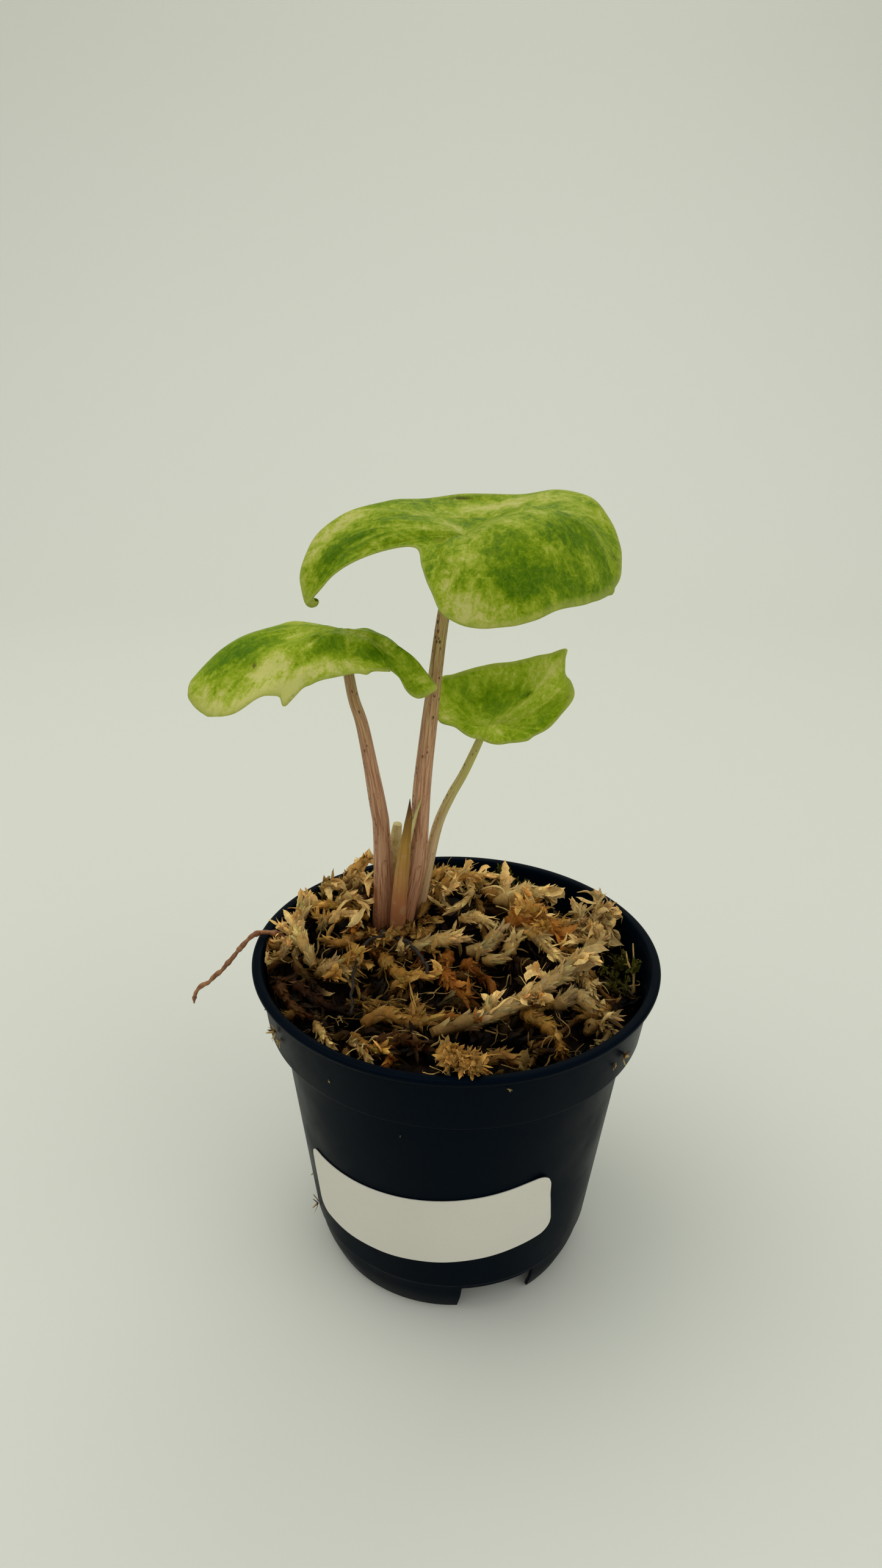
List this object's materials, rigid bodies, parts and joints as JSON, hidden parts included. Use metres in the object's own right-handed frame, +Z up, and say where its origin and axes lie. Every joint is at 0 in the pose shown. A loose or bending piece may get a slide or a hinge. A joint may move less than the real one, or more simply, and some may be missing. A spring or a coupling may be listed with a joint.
{
  "type": "potted alocasia",
  "caption": "Small aroid house plant with cupped, variegated green and cream leaves on pinkish stalks, growing in long-fibre moss in a dark nursery pot with a bare paper label.",
  "frame": {"origin": "middle of the pot's underside, on the surface that it stands on", "axes": "+Z up along the pot axis, -Y towards the front of the plant, +X to its right"},
  "size_m": [0.1052, 0.09, 0.1727],
  "materials": {
    "pot_plastic": "thin moulded nursery-pot plastic, near black with a cool sheen, lightly scuffed",
    "label_paper": "off-white matt paper, bare",
    "moss": "dried long-fibre moss, golden tan to orange brown",
    "moss_pale": "pale cream and straw-coloured moss strands",
    "moss_green": "olive living moss",
    "stalk": "fresh fleshy leaf stalk, pinkish brown with fine lengthwise lines",
    "stalk_green": "fresh fleshy leaf stalk, green turning tan at its foot",
    "leaf": "satin leathery blade, mottled green, lime and cream",
    "sheath": "papery bud sheath, orange brown to olive",
    "crown": "short fleshy rootstock, reddish brown",
    "root": "thin woody-looking aerial root, red brown and tan",
    "root_white": "fleshy cream root inside the moss"
  },
  "bodies": {
    "root": {"pot": "pot_plastic", "label": "label_paper", "moss_plug": "moss", "crown": "crown", "petiole_centre": "stalk", "petiole_left": "stalk", "petiole_right": "stalk_green", "bud_sheath": "sheath", "old_stub": "moss_pale", "leaf_centre": "leaf", "leaf_left": "leaf", "leaf_right": "leaf", "root_over_rim": "root", "root_1": "root_white", "root_2": "root_white", "root_3": "root_white", "root_4": "root_white", "root_5": "root_white", "moss_front_tuft": "moss_pale", "moss_long_sprig": "moss_pale", "moss_right_sprig": "moss_pale", "moss_cream_frond": "moss_pale", "moss_orange_lump": "moss", "moss_loop_tuft": "moss_pale", "moss_left_frond": "moss_pale", "moss_left_tuft": "moss_pale", "moss_root_cluster": "moss_pale", "moss_back_left": "moss_green", "moss_back_right": "moss_green", "moss_right_green": "moss_green"}
  },
  "joints": []
}
